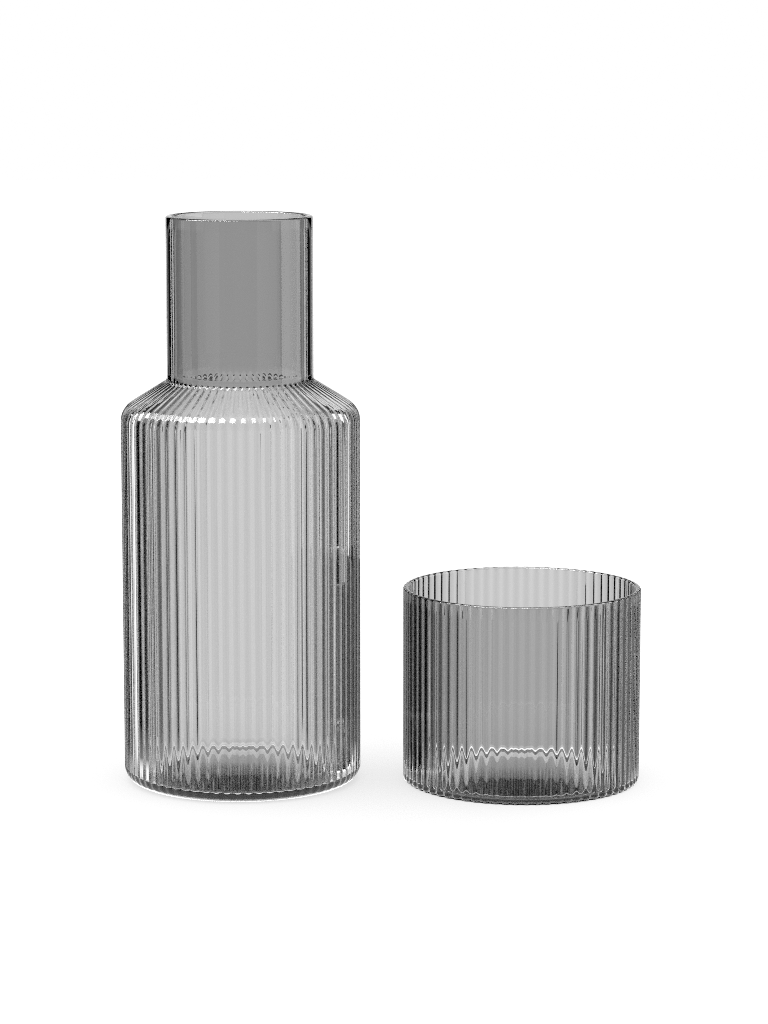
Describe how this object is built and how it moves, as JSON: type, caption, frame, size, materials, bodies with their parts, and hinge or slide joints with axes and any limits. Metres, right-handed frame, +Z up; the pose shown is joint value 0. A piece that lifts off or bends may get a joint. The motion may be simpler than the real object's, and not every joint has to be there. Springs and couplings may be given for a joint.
{
  "type": "bedside carafe with tumbler",
  "caption": "Tall straight-sided glass carafe with fine vertical ribs, a ribbed sloping shoulder and a wide plain neck, beside a low ribbed tumbler that covers the neck.",
  "frame": {"origin": "centre of the carafe's flat standing ring, on the table and on the carafe's axis", "axes": "+Z up the carafe's axis and out of its neck, +X towards the tumbler beside it, -Y towards the viewer"},
  "size_m": [0.1875, 0.0875, 0.205],
  "materials": {
    "smoked_glass": "clear, polished, tinted neutral grey"
  },
  "bodies": {
    "carafe": {"carafe": "smoked_glass"},
    "tumbler": {"tumbler": "smoked_glass"}
  },
  "joints": [
    {"name": "tumbler_lift", "type": "slide", "parent": "carafe", "child": "tumbler", "axis": [0, 0, 1], "range_m": [0, 0.22]}
  ]
}
